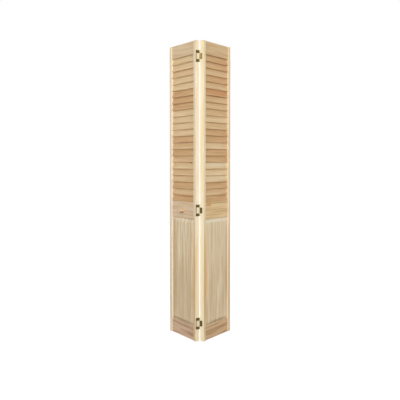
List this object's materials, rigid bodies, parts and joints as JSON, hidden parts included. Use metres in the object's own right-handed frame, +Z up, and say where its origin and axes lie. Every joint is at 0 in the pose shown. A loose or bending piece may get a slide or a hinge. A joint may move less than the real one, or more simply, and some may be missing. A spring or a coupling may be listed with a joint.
{
  "type": "bifold closet door",
  "caption": "Folding closet door of two hinged pine leaves with louvers above and raised panels below, a round pull knob and end bores for pivot and guide pins.",
  "frame": {"origin": "middle of the folded door's box, on the floor", "axes": "+Z up, -Y towards the side the hinged fold points to (the room side), +X to the right seen from there; the pivot leaf is on +X"},
  "size_m": [0.4248, 0.3124, 2.0003],
  "materials": {
    "stile_pine": "sanded, unfinished",
    "rail_pine": "sanded, unfinished",
    "panel_pine": "sanded, unfinished",
    "slat_pine": "sanded, unfinished",
    "knob_birch": "sanded, unfinished",
    "dowel_beech": "plain",
    "hinge_brass": "antique, satin",
    "screw_steel": "brass plated"
  },
  "bodies": {
    "pivot_leaf": {"pivot_outer_stile": "stile_pine", "pivot_hinge_stile": "stile_pine", "pivot_top_rail": "rail_pine", "pivot_mid_rail": "rail_pine", "pivot_bottom_rail": "rail_pine", "pivot_panel": "panel_pine", "pivot_slats": "slat_pine", "pivot_dowels": "dowel_beech", "pivot_hinge_screws": "screw_steel", "top_hinge_inner_leaf": "hinge_brass", "mid_hinge_inner_leaf": "hinge_brass", "bottom_hinge_inner_leaf": "hinge_brass"},
    "lead_leaf": {"lead_outer_stile": "stile_pine", "lead_hinge_stile": "stile_pine", "lead_top_rail": "rail_pine", "lead_mid_rail": "rail_pine", "lead_bottom_rail": "rail_pine", "lead_panel": "panel_pine", "lead_slats": "slat_pine", "lead_dowels": "dowel_beech", "lead_hinge_screws": "screw_steel", "top_hinge_outer_leaf": "hinge_brass", "top_hinge_pin": "hinge_brass", "mid_hinge_outer_leaf": "hinge_brass", "mid_hinge_pin": "hinge_brass", "bottom_hinge_outer_leaf": "hinge_brass", "bottom_hinge_pin": "hinge_brass", "knob": "knob_birch", "knob_screw": "screw_steel"}
  },
  "joints": [
    {"name": "leaf_fold", "type": "hinge", "parent": "pivot_leaf", "child": "lead_leaf", "pos_m": [0, -0.14117, 0.878], "axis": [0, 0, -1], "range_deg": [-116.4, 63.6]}
  ]
}
